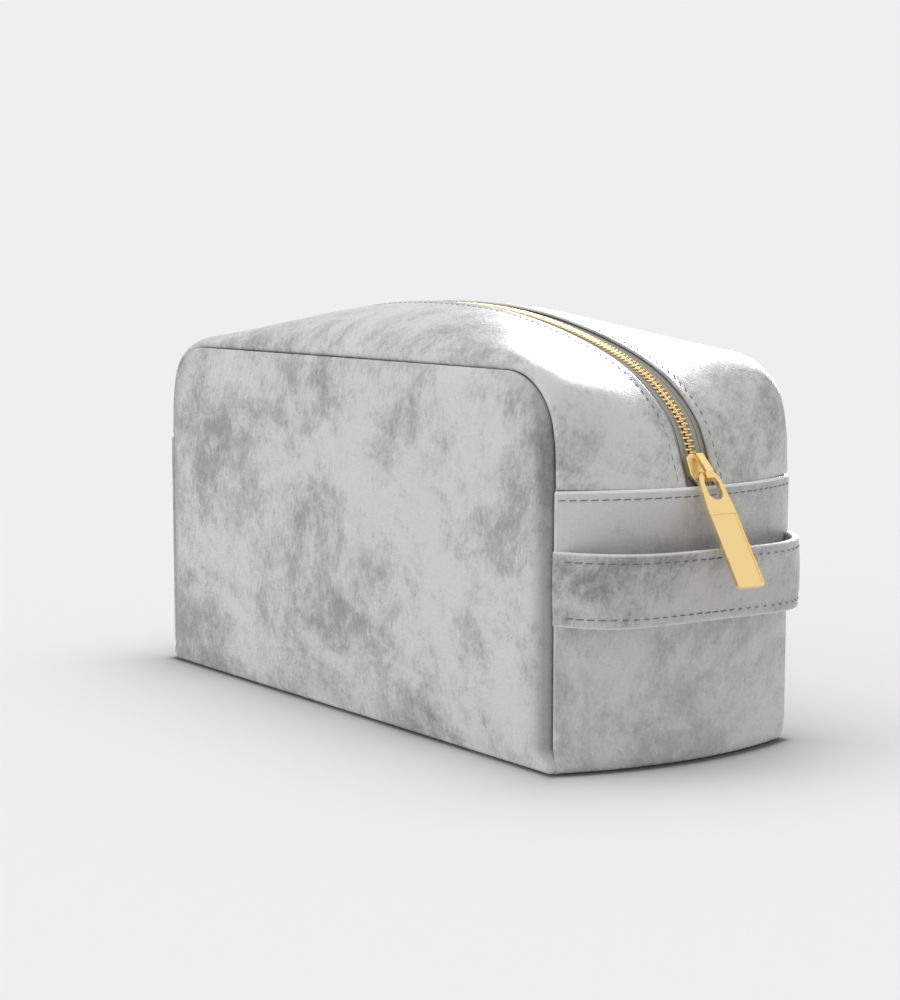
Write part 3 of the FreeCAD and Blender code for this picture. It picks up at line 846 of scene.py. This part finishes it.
def gusset_stitch_row(sign):
    """Beside the zip, one inset from the fold."""
    seam, proud, _ = top_stations()
    inside = seam[:, 1] >= top_start
    across = np.array([-(slot_half + stitch_inset) / half_width])
    points, normals = skin(seam[inside], proud[inside], across)
    return stitch_row(points[:, 0], normals[:, 0], facing(sign), 0.38 * mm if sign < 0 else 0.3 * mm)


def end_stitch_row(side):
    """Along the folded edge of an end panel, one inset below it."""
    line, normals = end_face(end_panel_top - stitch_inset, np.linspace(-0.975, 0.975, 121))
    return stitch_row(line, normals, (side, 1, 1), 0.12 * mm)


def strap_stitch_row(height):
    """Along the strap at one height."""
    across = np.linspace(-0.97, 0.97, 161)
    line = at(strap_face(height, across), across * half_width, height)
    run = np.gradient(line, axis=0)
    return stitch_row(line, unit(at(run[:, 1], -run[:, 0], 0)), 1, 0.1 * mm)


# ---- finishes

class Board:
    """A node tree with short calls to place a node and join its sockets."""

    def __init__(self, tree):
        self.tree = tree

    def place(self, kind, inputs, **settings):
        node = self.tree.nodes.new("ShaderNode" + kind)
        for key, value in settings.items():
            setattr(node, key, value)
        for key, value in inputs.items():
            self.feed(node.inputs[key], value)
        return node

    def feed(self, socket, value):
        if isinstance(value, bpy.types.NodeSocket):
            self.tree.links.new(value, socket)
        else:
            socket.default_value = value

    def math(self, operation, a, b=0.0, clamp=False):
        return self.place("Math", {0: a, 1: b}, operation=operation, use_clamp=clamp).outputs[0]

    def times(self, a, b):
        return self.math("MULTIPLY", a, b)

    def plus(self, a, b):
        return self.math("ADD", a, b)

    def minus(self, a, b):
        return self.math("SUBTRACT", a, b)

    def weighted(self, *pairs):
        """Sum of values, each times its weight."""
        total = self.times(*pairs[0])
        for value, weight in pairs[1:]:
            total = self.plus(total, self.times(value, weight))
        return total

    def vector(self, operation, inputs):
        return self.place("VectorMath", inputs, operation=operation)

    def parts(self, place):
        return self.place("SeparateXYZ", {0: place}).outputs

    def span(self, value, low, high, first=0.0, last=1.0):
        """Value taken from one range to another along a smooth step."""
        inputs = {"Value": value, "From Min": low, "From Max": high, "To Min": first, "To Max": last}
        return self.place("MapRange", inputs, interpolation_type="SMOOTHSTEP").outputs[0]

    def noise(self, place, scale, detail, roughness, distortion=0.0):
        inputs = {"Vector": place, "Scale": scale, "Detail": detail,
                  "Roughness": roughness, "Distortion": distortion}
        return self.place("TexNoise", inputs).outputs["Fac"]

    def moved(self, place, stretch=(1, 1, 1), shift=(0, 0, 0)):
        return self.place("Mapping", {"Vector": place, "Scale": stretch, "Location": shift}).outputs[0]

    def blend(self, share, a, b):
        return self.place("Mix", {0: share, 6: a, 7: b}, data_type="RGBA").outputs[2]

    def layout(self):
        return self.place("UVMap", {}, uv_map="flat").outputs[0]

    def object_place(self):
        return self.place("TexCoord", {}).outputs["Object"]

    def mark(self, name):
        return self.place("Attribute", {}, attribute_name=name).outputs["Fac"]

    def group(self, tree, **inputs):
        return self.place("Group", inputs, node_tree=tree).outputs


def grey(level):
    return (level, level, level, 1)


def new_group(name, inputs, outputs):
    """Empty node group with named sockets, and the sockets that bring them in and out."""
    tree = bpy.data.node_groups.new(name, "ShaderNodeTree")
    for label, kind in inputs.items():
        tree.interface.new_socket(label, in_out="INPUT", socket_type="NodeSocket" + kind)
    for label, kind in outputs.items():
        tree.interface.new_socket(label, in_out="OUTPUT", socket_type="NodeSocket" + kind)
    entry = tree.nodes.new("NodeGroupInput").outputs
    leave = tree.nodes.new("NodeGroupOutput").inputs
    return tree, Board(tree), entry, leave


def marbling_group():
    """Cloudy leather print: broad patches whose edges break up into fine slanting fibres."""
    inputs = {"Place": "Vector", "Slant": "Float", "Light": "Color", "Dark": "Color", "Cover": "Float"}
    tree, board, entry, leave = new_group("leather_marbling", inputs, {"Color": "Color"})
    turned = board.place("VectorRotate", {"Vector": entry["Place"], "Angle": entry["Slant"]},
                         rotation_type="Z_AXIS").outputs[0]
    patches = board.noise(board.moved(turned, (0.82, 0.95, 1)), 20.0, 6.0, 0.68, 0.5)
    wisps = board.noise(board.moved(turned, (1.15, 0.9, 1), (3.1, 1.7, 0)), 85.0, 5.0, 0.72, 0.5)
    fibres = board.noise(board.moved(turned, (2.2, 0.85, 1), (7, 2, 0)), 260.0, 4.0, 0.7, 0.5)
    specks = board.noise(turned, 900.0, 2.0, 0.6)
    total = board.weighted((patches, 0.52), (wisps, 0.24), (fibres, 0.17), (specks, 0.07))
    soft_edge = 0.088
    tone = board.span(total, board.minus(entry["Cover"], soft_edge), board.plus(entry["Cover"], soft_edge))
    board.feed(leave["Color"], board.blend(tone, entry["Dark"], entry["Light"]))
    return tree


def grain_group():
    """Fine pebbled leather surface: small cells between shallow creases, as a height."""
    tree, board, entry, leave = new_group("leather_grain", {"Place": "Vector"}, {"Height": "Float"})
    bent = board.place("TexNoise", {"Vector": entry["Place"], "Scale": 260.0, "Detail": 1.0})
    shift = board.vector("SCALE", {0: bent.outputs["Color"], "Scale": 0.0009}).outputs[0]
    place = board.vector("ADD", {0: entry["Place"], 1: shift}).outputs[0]
    cells = board.place("TexVoronoi", {"Vector": place, "Scale": 820.0}, feature="DISTANCE_TO_EDGE")
    pebbles = board.span(cells.outputs["Distance"], 0.0, 0.22)
    fine = board.noise(entry["Place"], 2100.0, 2.0, 0.6)
    soft = board.noise(entry["Place"], 330.0, 2.0, 0.5)
    board.feed(leave["Height"], board.weighted((pebbles, 0.55), (fine, 0.25), (soft, 0.5)))
    return tree


def weave_group():
    """Plain weave: ribs one way and the other, as a height and a mask of the gaps between threads."""
    inputs = {"Place": "Vector", "Along": "Float", "Across": "Float"}
    tree, board, entry, leave = new_group("cloth_weave", inputs, {"Height": "Float", "Gaps": "Float"})
    parts = board.parts(entry["Place"])
    warp = board.math("SINE", board.times(parts[0], entry["Along"]))
    weft = board.math("SINE", board.times(parts[1], entry["Across"]))
    crossed = board.times(warp, weft)
    rough = board.noise(entry["Place"], 1500.0, 2.0, 0.6)
    board.feed(leave["Height"], board.weighted((crossed, 0.5), (rough, 0.4)))
    board.feed(leave["Gaps"], board.span(crossed, -0.9, -0.2, 1.0, 0.0))
    return tree


def new_finish(name):
    finish = bpy.data.materials.new(name)
    finish.use_nodes = True
    return finish, Board(finish.node_tree), finish.node_tree.nodes["Principled BSDF"].inputs


def dress(board, shader, colour, rough, height, strength, distance):
    """What every finish has: a colour, a roughness, and a bump from its height."""
    bump = board.place("Bump", {"Strength": strength, "Distance": distance, "Height": height})
    board.feed(shader["Base Color"], colour)
    board.feed(shader["Roughness"], rough)
    board.feed(shader["Normal"], bump.outputs[0])


def leather_finish(word, slant, cover, start, light, dark, edges=False, lean=0.0):
    """Marbled leather: printed colour, a fine grain, and paler edges where the piece has them, partly edge
    paint and partly a painted highlight.

    Where it leans, the colour turns steadily darker towards -X along the layout. A painted shade
    darkens it where it turns down into a side seam, and its inner side is bare rough taupe.
    """
    finish, board, shader = new_finish("leather_" + word)
    layout = board.layout()
    place = board.moved(layout, shift=start + (0,))
    # Where it leans, the colour turns steadily darker towards -X along the layout.
    if lean:
        cover = board.minus(cover, board.times(board.parts(layout)[0], lean))
    colour = board.group(marbling, Place=place, Slant=slant, Cover=cover, Light=grey(light),
                         Dark=grey(dark))["Color"]
    # Paler edges: partly edge paint, partly a painted highlight along the rounded edges.
    if edges:
        colour = board.blend(board.times(board.mark("edge"), 0.8), colour, grey(0.80))
    # Painted shade along the side seams, darkening the colour towards near black.
    colour = board.blend(board.times(board.mark("painted_seam_shade"), 0.62), colour, grey(0.10))
    inside = board.mark("inside")
    colour = board.blend(inside, colour, (0.25, 0.24, 0.22, 1))
    rough = board.plus(board.times(board.noise(place, 240.0, 3.0, 0.6), 0.12), 0.21)
    rough = board.plus(rough, board.times(inside, 0.55))
    board.feed(shader["Specular IOR Level"], board.span(inside, 0.0, 1.0, 0.5, 0.15))
    dress(board, shader, colour, rough, board.group(grain, Place=place)["Height"], 0.35, 0.12 * mm)
    return finish


def woven_finish(name, along, across):
    """The start of a cloth finish: its layout and its weave, with a thread every so often each way."""
    finish, board, shader = new_finish(name)
    layout = board.layout()
    woven = board.group(weave, Place=layout, Along=math.tau / (along * mm), Across=math.tau / (across * mm))
    return finish, board, shader, layout, woven


def tape_finish():
    """Taupe zip tape: crossed ribs, a darker woven line, and a darker stretch beside the teeth."""
    finish, board, shader, layout, woven = woven_finish("zip_tape_weave", 0.55, 0.62)
    out = board.parts(layout)[1]
    line = board.math("ABSOLUTE", board.minus(out, 3.3 * mm))
    line = board.span(line, 0.12 * mm, 0.32 * mm, 1.0, 0.0)
    cord = board.span(out, 1.6 * mm, 2.4 * mm, 1.0, 0.0)
    colour = board.blend(board.times(woven["Gaps"], 0.35), (0.36, 0.345, 0.315, 1), (0.20, 0.19, 0.17, 1))
    colour = board.blend(board.times(cord, 0.3), colour, (0.22, 0.21, 0.19, 1))
    colour = board.blend(board.times(line, 0.75), colour, (0.07, 0.066, 0.06, 1))
    shader["Sheen Weight"].default_value = 0.15
    rough = board.plus(board.times(woven["Gaps"], 0.12), 0.78)
    dress(board, shader, colour, rough, woven["Height"], 0.5, 0.12 * mm)
    return finish


def lining_finish():
    """Plain greige lining cloth with a fine weave and slightly uneven dye."""
    finish, board, shader, layout, woven = woven_finish("lining_weave", 0.7, 0.7)
    dye = board.noise(layout, 40.0, 3.0, 0.5)
    colour = board.blend(dye, (0.40, 0.385, 0.36, 1), (0.30, 0.285, 0.265, 1))
    colour = board.blend(board.times(woven["Gaps"], 0.4), colour, (0.17, 0.16, 0.15, 1))
    shader["Sheen Weight"].default_value = 0.2
    dress(board, shader, colour, board.plus(board.times(dye, 0.1), 0.8), woven["Height"], 0.4, 0.12 * mm)
    return finish


def thread_finish():
    """Dark grey sewing thread with the slant of its twist."""
    finish, board, shader = new_finish("sewing_thread")
    twist = board.place("TexWave", {"Vector": board.object_place(), "Scale": 900.0, "Distortion": 1.5},
                        bands_direction="DIAGONAL").outputs["Fac"]
    colour = board.blend(twist, (0.12, 0.12, 0.123, 1), (0.20, 0.20, 0.205, 1))
    dress(board, shader, colour, board.plus(board.times(twist, 0.1), 0.6), twist, 0.5, 0.1 * mm)
    return finish


def gold_finish(name, bright, deep, rough_low, rough_high):
    """Polished pale gold plate with faint handling marks in its polish."""
    finish, board, shader = new_finish(name)
    place = board.object_place()
    cloud = board.noise(place, 120.0, 3.0, 0.6)
    lines = board.noise(board.moved(place, (1, 9, 1)), 900.0, 2.0, 0.5)
    rough = board.span(board.weighted((cloud, 0.6), (lines, 0.4)), 0.3, 0.7, rough_low, rough_high)
    shader["Metallic"].default_value = 1.0
    dress(board, shader, board.blend(cloud, bright, deep), rough, lines, 0.08, 0.05 * mm)
    return finish


def board_finish():
    """Grey stiffener board, pressed fibre."""
    finish, board, shader = new_finish("stiffener_fibre")
    fibre = board.noise(board.moved(board.object_place(), (1, 4, 1)), 300.0, 4.0, 0.6)
    colour = board.blend(fibre, (0.11, 0.10, 0.095, 1), (0.18, 0.17, 0.16, 1))
    dress(board, shader, colour, board.plus(board.times(fibre, 0.1), 0.8), fibre, 0.3, 0.1 * mm)
    return finish


def coat(piece, finish):
    piece.data.materials.clear()
    piece.data.materials.append(finish)


# ---- camera, light and floor

backdrop_grey = 0.863
floor_grey = 0.863


def aim(thing, place, target):
    thing.location = place
    thing.rotation_euler = (Vector(target) - Vector(place)).to_track_quat("-Z", "Y").to_euler()


def add_camera():
    """A long lens, a little above the bag, towards the corner between the front and the handle end."""
    data = bpy.data.cameras.new("camera")
    data.lens = 82.26
    data.sensor_width = 36
    data.clip_start = 0.01
    camera = link(bpy.data.objects.new("camera", data))
    turn, tilt, distance = math.radians(55.75), math.radians(6.24), 0.861
    back = Vector((math.sin(turn) * math.cos(tilt), -math.cos(turn) * math.cos(tilt), math.sin(tilt)))
    right = Vector((math.cos(turn), math.sin(turn), 0))
    target = right * -0.0005 + Vector((0, 0, 0.0746))
    aim(camera, target + back * distance, target)
    bpy.context.scene.camera = camera


def add_lamp(name, kind, strength, direction, distance, target):
    """A lamp at a distance from its target, in one direction. Returns it and its settings."""
    data = bpy.data.lights.new(name, kind)
    data.energy = strength
    lamp = link(bpy.data.objects.new(name, data))
    aim(lamp, Vector(target) + Vector(direction).normalized() * distance, target)
    return lamp, data


def add_sun(name, direction, strength, spread):
    """Broad plain light from far away, which leaves no highlight."""
    lamp, data = add_lamp(name, "SUN", strength, direction, 2, (0, 0, 0))
    data.angle = math.radians(spread)
    lamp.visible_glossy = False


def add_softbox(name, direction, distance, size, energy, target):
    """A studio softbox for the sheen on the leather. It adds to reflections and not to the plain light."""
    lamp, data = add_lamp(name, "AREA", energy, direction, distance, target)
    data.shape = "RECTANGLE"
    data.size, data.size_y = size
    lamp.visible_diffuse = False
    lamp.visible_camera = False


def plain_ground(level):
    """World that is one pale grey to the eye and in reflections, and gives a plain even light."""
    world = bpy.data.worlds.new("studio")
    bpy.context.scene.world = world
    world.use_nodes = True
    board = Board(world.node_tree)
    path = board.place("LightPath", {}).outputs
    seen = board.plus(path["Is Camera Ray"], path["Is Glossy Ray"])
    seen = board.math("ADD", seen, path["Is Transmission Ray"], clamp=True)
    pale = world.node_tree.nodes["Background"]
    pale.inputs["Color"].default_value = grey(backdrop_grey)
    even = board.place("Background", {"Color": grey(1), "Strength": level})
    both = board.place("MixShader", {0: seen, 1: even.outputs[0], 2: pale.outputs[0]})
    board.feed(world.node_tree.nodes["World Output"].inputs["Surface"], both.outputs[0])


def add_floor():
    """Pale floor as a large round of rings, all at one height under the bag."""
    radii = join([0.05, 0.2, 0.6], np.geomspace(1.5, 60, 9))
    around = 64
    turn = np.arange(around) / around * math.tau
    rings = at(np.outer(radii, np.cos(turn)), np.outer(radii, np.sin(turn)), 0)
    column = np.arange(around)
    middle = at(column, (column + 1) % around, len(radii) * around)
    points = join(rings.reshape(-1, 3), [[0, 0, 0]])
    quads = wrap_quads(len(radii), around)[:, ::-1]
    mesh = bpy.data.meshes.new("floor")
    mesh.from_pydata(points.tolist(), [], quads.tolist() + middle.tolist())
    mesh.update()
    floor = link(bpy.data.objects.new("floor", mesh))
    finish, board, shader = new_finish("floor_paint")
    # How far each place on the floor is from the foot of the bag, whose ends bow outwards.
    parts = board.parts(board.vector("ABSOLUTE", {0: board.object_place()}).outputs[0])
    across = board.math("MINIMUM", board.math("DIVIDE", parts[1], half_width), 1.0)
    bow = board.times(board.times(across, across), panel_bulge_base)
    reach = board.minus(half_length + panel_bulge_base, bow)
    past_end = board.math("MAXIMUM", board.minus(parts[0], reach), 0.0)
    past_front = board.math("MAXIMUM", board.minus(parts[1], half_width), 0.0)
    past = board.place("CombineXYZ", {0: past_end, 1: past_front}).outputs[0]
    past = board.vector("LENGTH", {0: past}).outputs["Value"]
    # Seen directly, the floor's colour holds a painted contact shadow round the foot of the bag, by two falls
    # e^(-d / reach).
    seen = board.place("LightPath", {}).outputs["Is Camera Ray"]
    tight = board.math("EXPONENT", board.math("DIVIDE", past, -1.5 * mm))
    wide = board.math("EXPONENT", board.math("DIVIDE", past, -16 * mm))
    closed = board.times(board.weighted((tight, 0.45), (wide, 0.32)), seen)
    board.feed(shader["Base Color"], board.blend(closed, grey(floor_grey), grey(0)))
    shader["Roughness"].default_value = 1.0
    shader["Specular IOR Level"].default_value = 0.0
    # The floor is paint in the light close to the bag and plain backdrop grey far off.
    near = board.span(past, 0.01, 0.12, 0.0, 0.45)
    plain = board.times(board.math("MAXIMUM", near, board.span(past, 0.12, 0.9)), seen)
    pale = board.place("Emission", {"Color": grey(backdrop_grey)}).outputs[0]
    nodes = finish.node_tree.nodes
    both = board.place("MixShader", {0: plain, 1: nodes["Principled BSDF"].outputs[0], 2: pale})
    board.feed(nodes["Material Output"].inputs["Surface"], both.outputs[0])
    coat(floor, finish)


def light_the_scene():
    bpy.context.scene.view_settings.view_transform = "Standard"
    plain_ground(0.60)
    add_sun("top_light", (-0.10, 0.04, 1.0), 1.02, 80)
    add_sun("front_light", (-0.40, -0.90, 0.28), 0.80, 60)
    add_softbox("sheen_light", (-0.573, 0.693, 0.438), 1.28, (0.64, 1.05), 20.0, (0.11, 0, 0.12))


# ---- the bag, piece by piece

def settle(piece, finish, slot, bodies, *stands_for):
    """Gives a piece its finish, hides the frame parts it stands for, and hangs it on its body when there is
    one; with more bodies it stays fixed where it is. The slot is not used.
    """
    coat(piece, finish)
    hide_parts(*stands_for)
    if len(bodies) == 1:
        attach(piece, bodies[0])
    else:
        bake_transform(piece)


add_camera()
light_the_scene()
add_floor()

marbling = marbling_group()
grain = grain_group()
weave = weave_group()
# For each leather: the print's slant, how much of it is dark, where it starts, and its two greys.
leathers = {
    "front": leather_finish("front", 0.12, 0.474, (0.31, 0.17), 0.60, 0.27, lean=0.2),
    "back": leather_finish("back", 0.12, 0.475, (1.31, 0.67), 0.60, 0.27),
    "front_top": leather_finish("front_top", 0.8, 0.487, (2.3, 0.1), 0.60, 0.27),
    "back_top": leather_finish("back_top", -0.8, 0.487, (3.3, 0.4), 0.60, 0.27),
    "ends": leather_finish("ends", 0.05, 0.47, (4.3, 0.2), 0.60, 0.38, edges=True),
    "strap": leather_finish("strap", 0.2, 0.47, (5.3, 0.2), 0.51, 0.20, edges=True),
}
tape_cloth = tape_finish()
lining_weave = lining_finish()
thread = thread_finish()
plated = gold_finish("gold_plate", (1.0, 0.755, 0.345, 1), (0.97, 0.72, 0.325, 1), 0.26, 0.38)
slider_gold = gold_finish("gold_slider", (1.0, 0.80, 0.42, 1), (0.98, 0.77, 0.39, 1), 0.42, 0.52)
toothed = gold_finish("gold_teeth", (0.95, 0.75, 0.37, 1), (0.88, 0.67, 0.32, 1), 0.18, 0.30)

for word, sign, seed in (("front", -1, 1), ("back", 1, 2)):
    jaw = ("root", word + "_jaw")
    panel = leather_panel(word + "_panel_leather", sign, 10 + seed)
    settle(panel, leathers[word], "leather", jaw, word + "_panel_lower", word + "_panel_upper")
    half = top_half(word + "_top_leather", sign, 20 + seed)
    settle(half, leathers[word + "_top"], "leather", jaw, word + "_zip_gusset")
    settle(zip_tape(word + "_tape_cloth", sign), tape_cloth, "zip_tape", jaw, word + "_zip_tape")
    settle(zip_teeth(word + "_teeth_row", sign), toothed, "zip_metal", jaw, word + "_zip_teeth")
    for place in ("top", "end"):
        stop = zip_stop(word + "_" + place + "_stop_block", sign, place == "top")
        settle(stop, plated, "zip_metal", jaw, word + "_" + place + "_stop")
    sewn = stitches(word + "_top_thread", gusset_stitch_row(sign))
    settle(sewn, thread, "thread", jaw, word + "_gusset_stitches")
    inside = side_lining(word + "_lining_cloth", sign, 31 + sign)
    lined = "lining_" + word
    settle(inside, lining_weave, "lining_fabric", jaw, lined + "_lower", lined + "_upper")
    over = top_lining(word + "_top_lining_cloth", sign, 41 + sign)
    settle(over, lining_weave, "lining_fabric", jaw, lined + "_gusset")

root = ("root",)
strip = end_strip("end_and_base_leather")
settle(strip, leathers["ends"], "leather", root, "right_end_panel", "left_end_panel", "base_panel")
settle(handle_strap("handle_strap_leather"), leathers["strap"], "leather", root, "handle_strap")
sewn = stitches("handle_thread", strap_stitch_row(strap_bottom + stitch_inset),
                strap_stitch_row(strap_top - stitch_inset))
settle(sewn, thread, "thread", root, "handle_stitches")
for word, side in (("right", 1), ("left", -1)):
    sewn = stitches(word + "_end_thread", end_stitch_row(side))
    settle(sewn, thread, "thread", root, word + "_end_stitches")
    inside = end_lining(word + "_end_lining_cloth", side, 51 + side)
    settle(inside, lining_weave, "lining_fabric", root, "lining_" + word + "_end")
floor_cloth = base_lining("base_lining_cloth", 61)
settle(floor_cloth, lining_weave, "lining_fabric", root, "lining_base")

coat(frame["nodes"]["slider_body"], slider_gold)
for node in ("slider_bail", "pull_tab"):
    coat(frame["nodes"][node], plated)
coat(frame["nodes"]["base_board"], board_finish())
